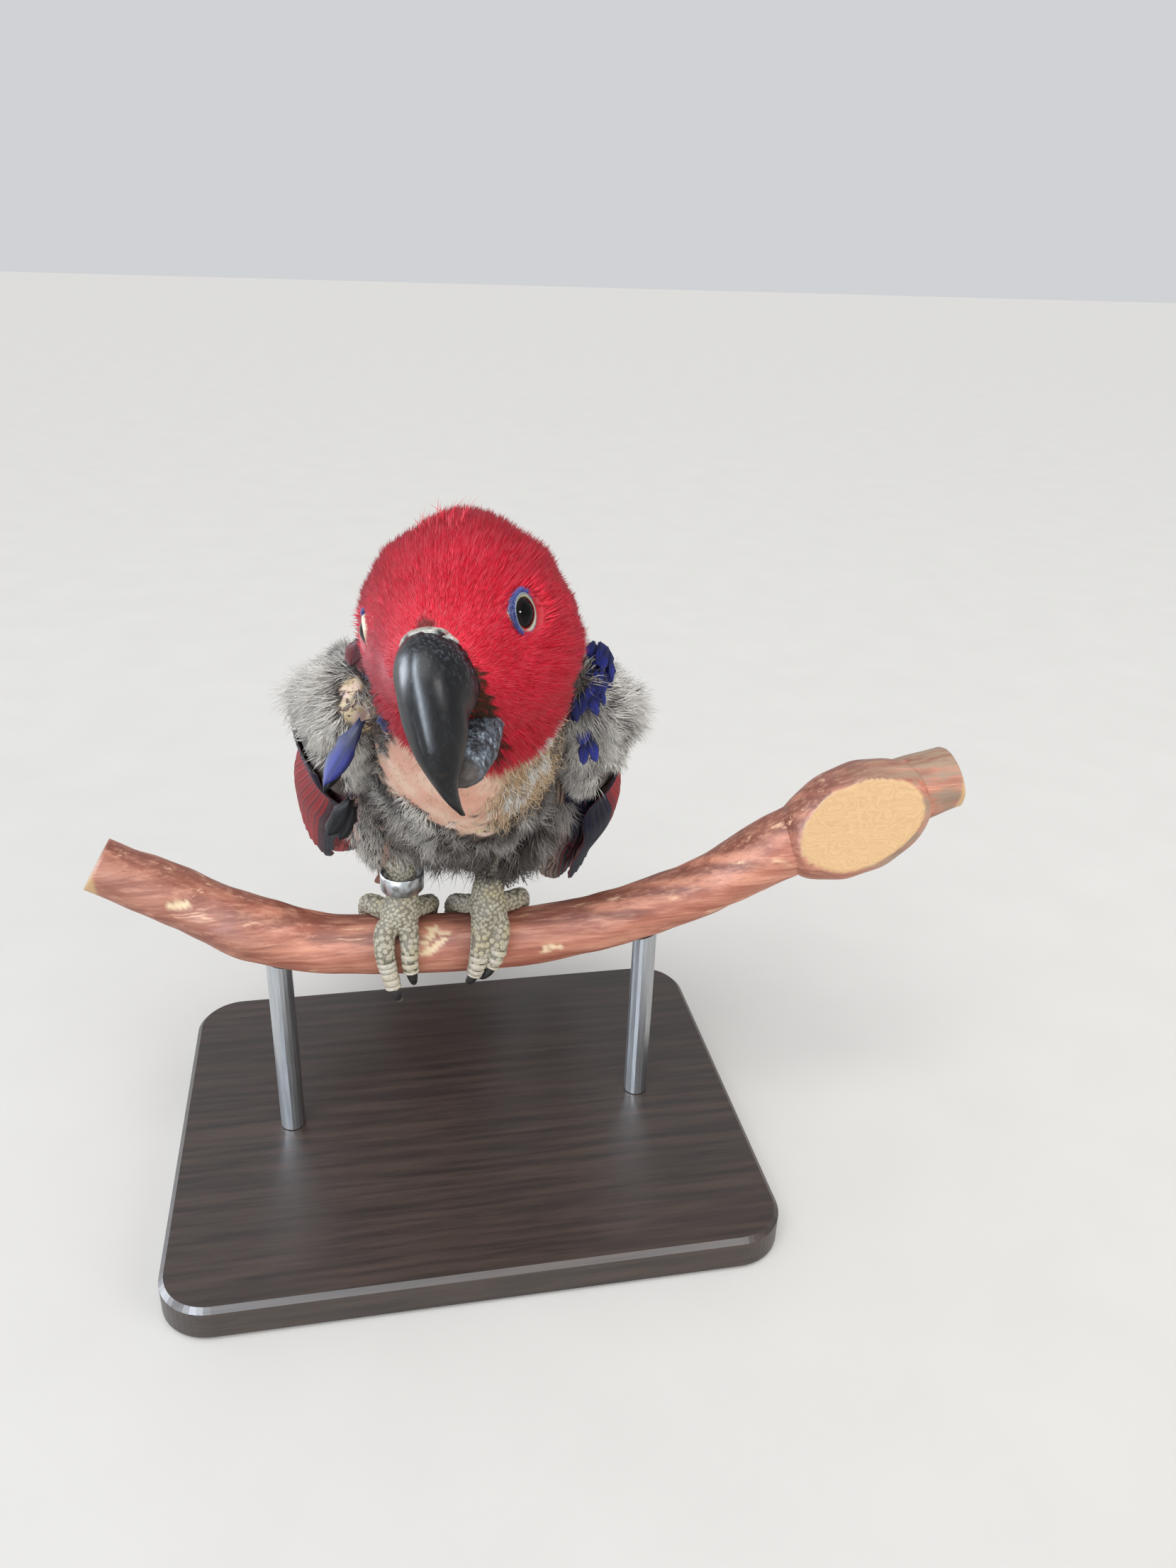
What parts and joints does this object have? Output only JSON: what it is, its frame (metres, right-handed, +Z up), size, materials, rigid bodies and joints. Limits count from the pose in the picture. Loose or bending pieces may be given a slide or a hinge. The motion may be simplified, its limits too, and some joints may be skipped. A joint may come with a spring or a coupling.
{
  "type": "eclectus parrot",
  "caption": "Life-size eclectus parrot with a red hood and a mostly plucked body, leaning forward on a short cut branch over a plain stand.",
  "frame": {"origin": "middle of the flat underside of the stand's base, straight below the point of the branch between the two feet", "axes": "+Z up, the bird's body faces -Y and its right side is -X, metres"},
  "size_m": [0.2795, 0.2174, 0.2308],
  "materials": {
    "hood": "dense hair-like red feathers, matt",
    "skin": "bare pinkish tan skin, fine wrinkles, satin",
    "cere": "pale grey-white, matt",
    "bill": "black horn, satin gloss",
    "eye": "wet, nearly black with a thin pale rim",
    "wing": "folded red, slate and violet-blue feathers under grey down",
    "tail": "red feathers, satin",
    "down": "soft grey-brown down",
    "scales": "grey-olive scales with dark edges",
    "claw": "dark horn, satin",
    "band": "worn bare metal",
    "branch": "smooth reddish brown wood with paler streaks, satin",
    "stand_base": "dark stained, satin",
    "stand_rod": "brushed"
  },
  "bodies": {
    "root": {"head": "hood", "neck": "skin", "torso": "skin", "cere": "cere", "bill_upper": "bill", "bill_lower": "bill", "eye_left": "eye", "eye_right": "eye", "wing_left": "wing", "wing_right": "wing", "tail": "tail", "thigh_left": "down", "thigh_right": "down", "shank_left": "scales", "shank_right": "scales", "toe_left_1": "scales", "toe_left_2": "scales", "toe_left_3": "scales", "toe_left_4": "scales", "toe_right_1": "scales", "toe_right_2": "scales", "toe_right_3": "scales", "toe_right_4": "scales", "claw_left_1": "claw", "claw_left_2": "claw", "claw_left_3": "claw", "claw_left_4": "claw", "claw_right_1": "claw", "claw_right_2": "claw", "claw_right_3": "claw", "claw_right_4": "claw", "leg_band": "band", "perch_branch": "branch", "stand_base": "stand_base", "stand_rod_left": "stand_rod", "stand_rod_right": "stand_rod"}
  },
  "joints": []
}
